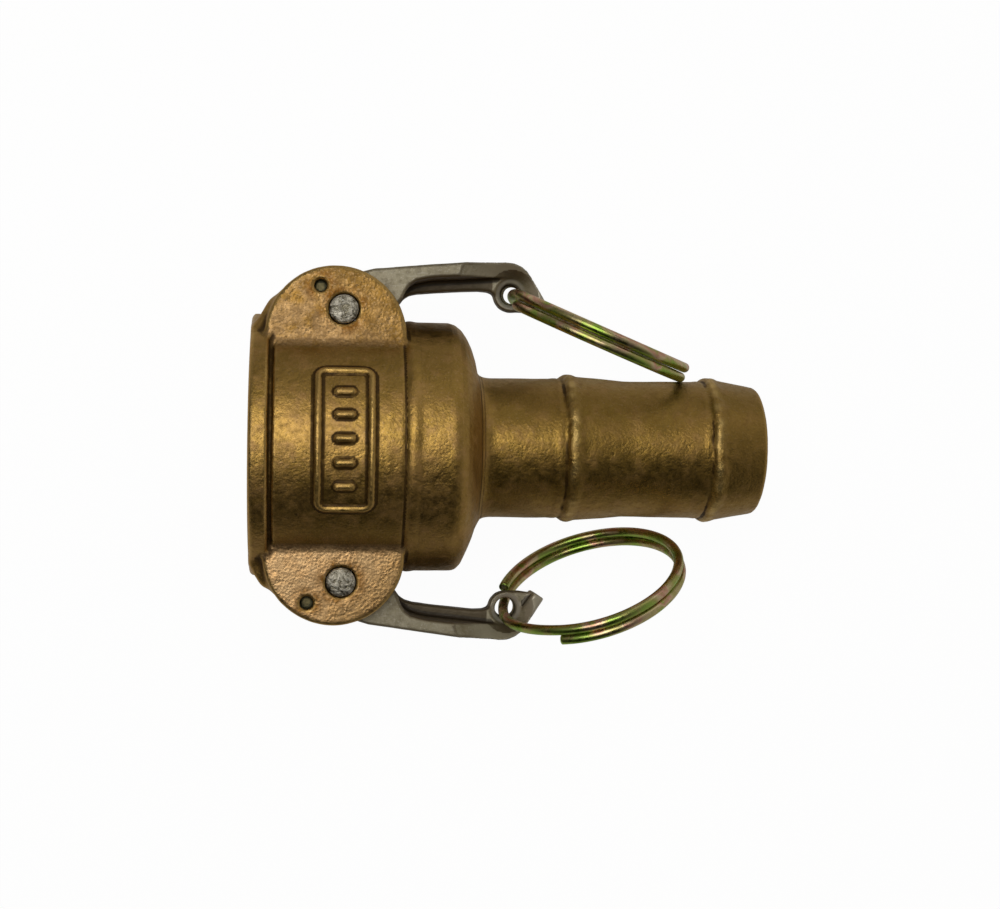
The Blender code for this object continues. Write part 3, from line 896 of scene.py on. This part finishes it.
def arm_metal():
    look = Look("arm_grey")
    fade, times, mark = look.fade, look.times, look.mark
    mid = look.noise(size=3.4, detail=4, rough=0.6, distort=0.5)
    small = look.noise(size=0.9, detail=3, rough=0.6)
    grain = look.noise(size=0.3, detail=2, rough=0.6)
    blotch = look.noise(size=8.0, detail=4, rough=0.62, distort=1.4)
    scuff = look.noise(size=0.9, detail=2, rough=0.5, stretch=(0.18, 1.6, 1.6), distort=0.5)
    tip = mark("tip")
    # painted shade: the strap's underside and the rib's sides are darkened
    dark = look.add("Math", {0: mark("under"), 1: mark("rib")}, operation="MAXIMUM")[0]
    colour = look.paint(
        srgb(164, 155, 128),
        (fade(mid, low=0.35, high=0.7), (188, 179, 153)),
        (fade(blotch, low=0.46, high=0.66, end=0.55), (136, 124, 98)),
        (fade(small, low=0.48, high=0.7, end=0.5), (132, 121, 98)),
        (fade(scuff, low=0.6, high=0.72, end=0.35), (214, 208, 190)),
        (fade(grain, low=0.55, high=0.72, end=0.4), (222, 216, 200)),
        (times(dark, 0.9), (84, 70, 46)),
        # painted shade on the rounded edges
        (fade(mark("edge"), low=0.2, high=0.8, end=0.55), (104, 91, 67)),
        # painted light: the tapered sides of the strap are lightened
        (times(mark("taper_light"), 0.75), (196, 188, 164)),
        (mark("eye"), (196, 190, 176)),
        (times(tip, 0.6), (196, 188, 168)),
        # painted shade in the creases
        (fade(mark("crease"), low=0.15, high=0.8, end=0.8), (40, 32, 20)),
    )
    rough = fade(mid, low=0.3, high=0.7, start=0.42, end=0.56)
    rough = look.plus(rough, fade(small, low=0.35, high=0.7, start=-0.05, end=0.06))
    rough = look.minus(rough, times(tip, 0.1))
    look.bump((mid, 0.35, 0.15), (small, 0.55, 0.07), (grain, 0.5, 0.035))
    return look.finish(colour, rough, metal=0.35)


def pin_metal():
    look = Look("pin_steel")
    mid = look.noise(size=1.3, detail=4, rough=0.65, distort=1.2)
    grain = look.noise(size=0.32, detail=3, rough=0.6)
    scratch = look.noise(size=0.5, detail=2, rough=0.5, stretch=(0.5, 5.0, 1.0), distort=0.6)
    colour = look.paint(
        srgb(122, 116, 98),
        (look.fade(mid, low=0.40, high=0.62), (208, 202, 186)),
        (look.fade(scratch, low=0.58, high=0.7, end=0.5), (104, 98, 82)),
        (look.fade(grain, low=0.60, high=0.74, end=0.7), (232, 230, 220)),
    )
    look.bump((mid, 1.0, 0.28), (scratch, 0.45, 0.05), (grain, 0.6, 0.06))
    rough = look.fade(mid, low=0.3, high=0.7, start=0.24, end=0.42)
    return look.finish(colour, rough, metal=1.0)


def ring_metal():
    """Yellow zinc: a film whose tint drifts along the wire, and a painted coloured sheen that shifts
    with the way the wire faces.
    """
    look = Look("yellow_zinc")
    plus, times = look.plus, look.times
    drift = look.noise(size=7.0, detail=2, rough=0.5, distort=1.2)
    mid = look.noise(size=1.2, detail=3, rough=0.6, distort=0.8)
    grain = look.noise(size=0.3, detail=2, rough=0.5)
    # painted reflection: part of the film's colour bands follows the way the surface faces
    facing = look.add("SeparateXYZ", {0: look.add("NewGeometry")["Normal"]})
    lean = times(plus(facing["Y"], times(facing["X"], 0.35)), 0.085)
    tint = plus(lean, plus(times(drift, 0.7), plus(times(mid, 0.1), 0.08)))
    film = look.ramp(tint, [
        (0.28, (128, 158, 58)), (0.40, (166, 194, 92)), (0.47, (188, 180, 112)),
        (0.53, (222, 202, 158)), (0.59, (218, 164, 142)), (0.68, (158, 182, 84)),
    ])
    film = look.paint(
        film,
        (look.fade(grain, low=0.62, high=0.76, end=0.12), (96, 84, 44)),
        (look.mark("cut"), (214, 206, 190)),
    )
    look.bump((mid, 0.15, 0.05), (grain, 0.1, 0.012))
    rough = look.fade(mid, low=0.3, high=0.7, start=0.25, end=0.36)
    return look.finish(film, rough, metal=1.0)


def rubber():
    look = Look("gasket_black")
    mid = look.noise(size=2.4, detail=4, rough=0.6)
    grain = look.noise(size=0.35, detail=3, rough=0.6)
    colour = look.paint(
        srgb(26, 25, 24),
        (look.fade(mid, low=0.35, high=0.7), (44, 42, 39)),
        (look.fade(grain, low=0.6, high=0.75, end=0.4), (74, 70, 62)),
    )
    look.bump((mid, 0.3, 0.08), (grain, 0.5, 0.03))
    rough = look.fade(mid, low=0.3, high=0.7, start=0.55, end=0.75)
    return look.finish(colour, rough, metal=0.0)


BRASS, ARM, STEEL, ZINC, RUBBER = brass(), arm_metal(), pin_metal(), ring_metal(), rubber()

# object, material, the body it rides, its slot, the CAD node it replaces
parts = [
    (cast_body, BRASS, "housing", "cast_brass", "body"),
    (gasket, RUBBER, "housing", "gasket_rubber", "gasket"),
]
for side in SIDES:
    parts += [
        (arms[side], ARM, f"arm_{side}", "arm_steel", f"cam_arm_{side}"),
        (pins[side], STEEL, "housing", "pin_steel", f"pivot_pin_{side}"),
        (rings[side], ZINC, f"ring_{side}", "ring_zinc", f"pull_ring_{side}"),
    ]
for obj, material, rides, slot, node in parts:
    obj.data.materials.append(material)
    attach(obj, rides)
    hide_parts(node)
for _, material, _, _, node in parts:
    for node_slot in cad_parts[node].material_slots:
        node_slot.material = material

# =================================================================================================
# studio: pale floor, soft light, camera above
# =================================================================================================
SCENE.view_settings.view_transform = "Standard"
FLOOR_HALF = 2.0  # metres
FLOOR_DROP = 0.00002  # metres below the product
WARM = (1.0, 0.97, 0.92, 1)


def floor_material():
    """Almost white to the camera, dimmer to other rays, and clear from below."""
    material = bpy.data.materials.new("pale_floor")
    floor = Tree(material)
    floor.tree.nodes.clear()
    add = floor.add
    white = add("Emission", {"Color": (1, 1, 1, 1), "Strength": 1.03})[0]
    soft = add("BsdfDiffuse", {"Color": (0.9, 0.9, 0.9, 1)})[0]
    to_camera = add("MixShader", {0: 0.06, 1: white, 2: soft})[0]
    dim = add("BsdfDiffuse", {"Color": (0.75, 0.73, 0.69, 1)})[0]
    glow = add("Emission", {"Color": WARM, "Strength": 0.13})[0]
    to_others = add("AddShader", {0: dim, 1: glow})[0]
    is_camera = add("LightPath")["Is Camera Ray"]
    above = add("MixShader", {0: is_camera, 1: to_others, 2: to_camera})[0]
    below = add("BsdfTransparent")[0]
    backfacing = add("NewGeometry")["Backfacing"]
    both = add("MixShader", {0: backfacing, 1: above, 2: below})[0]
    add("OutputMaterial", {"Surface": both})
    return material


def build_floor():
    mesh = bpy.data.meshes.new("pale_floor")
    corners = ((-1, -1), (1, -1), (1, 1), (-1, 1))
    level = CAD_LOW.z - FLOOR_DROP
    verts = [(x * FLOOR_HALF, y * FLOOR_HALF, level) for x, y in corners]
    mesh.from_pydata(verts, [], [(0, 1, 2, 3)])
    floor = bpy.data.objects.new("pale_floor", mesh)
    SCENE.collection.objects.link(floor)
    mesh.materials.append(floor_material())


def build_world():
    """A flat backdrop for the camera; dim warm light that varies with direction for the rest."""
    SCENE.world = bpy.data.worlds.new("studio")
    world = Tree(SCENE.world)
    world.tree.nodes.clear()
    add, fade = world.add, world.fade
    axes = add("SeparateXYZ", {0: add("TexCoord")["Generated"]})
    # toward -Y: pale at the horizon, dark above it
    lower_side = fade(axes["Z"], low=0.0, high=0.25, start=0.2, end=0.008)
    around = fade(axes["Y"], low=-0.35, high=0.55, start=lower_side, end=0.14)
    hose_side = fade(axes["X"], low=0.35, high=0.95, end=0.3)
    strength = world.plus(around, hose_side)
    ambient = add("Background", {"Color": WARM, "Strength": strength})[0]
    backdrop = add("Background", {"Color": (0.97, 0.97, 0.97, 1)})[0]
    is_camera = add("LightPath")["Is Camera Ray"]
    pick = add("MixShader", {0: is_camera, 1: ambient, 2: backdrop})[0]
    add("OutputWorld", {"Surface": pick})


def softbox(name, place, target, size, power, colour):
    """A rectangular lamp; place, target and size in metres, power in watts."""
    lamp = bpy.data.lights.new(name, "AREA")
    lamp.shape = "RECTANGLE"
    lamp.size, lamp.size_y = size
    lamp.energy = power
    lamp.color = colour
    obj = bpy.data.objects.new(name, lamp)
    SCENE.collection.objects.link(obj)
    obj.location = place
    obj.rotation_euler = (Vector(target) - Vector(place)).to_track_quat("-Z", "Y").to_euler()
    obj.visible_camera = False


CAMERA_PLACE = Vector((10.18287053, 0, 293.28))  # mm from the mouth's centre
CAMERA_TARGET = Vector((45.00987053, -1.27, 0))
CAMERA_ROLL = math.radians(0.72)


def build_camera():
    ahead = (CAMERA_TARGET - CAMERA_PLACE).normalized()
    level = ahead.cross(Vector((0, 1, 0))).normalized()
    above = level.cross(ahead)
    cos, sin = math.cos(CAMERA_ROLL), math.sin(CAMERA_ROLL)
    axes = (level * cos + above * sin, -level * sin + above * cos, -ahead)
    lens = bpy.data.cameras.new("camera")
    lens.sensor_width = 36
    lens.lens = 58.00523954
    lens.clip_start = 0.01
    camera = bpy.data.objects.new("camera", lens)
    SCENE.collection.objects.link(camera)
    matrix = Matrix(axes).transposed().to_4x4()
    matrix.translation = MOUTH + CAMERA_PLACE * MM
    camera.matrix_world = matrix
    SCENE.camera = camera


build_floor()
build_world()
softbox(
    "overhead", place=(-0.10, 0.085, 0.46), target=(-0.01, 0, 0),
    size=(0.36, 0.26), power=0.74, colour=(1.0, 0.98, 0.94),
)
softbox(
    "fill", place=(0.25, 0.6, 0.35), target=(0, 0, 0),
    size=(0.5, 0.4), power=0.25, colour=(1.0, 0.98, 0.95),
)
build_camera()
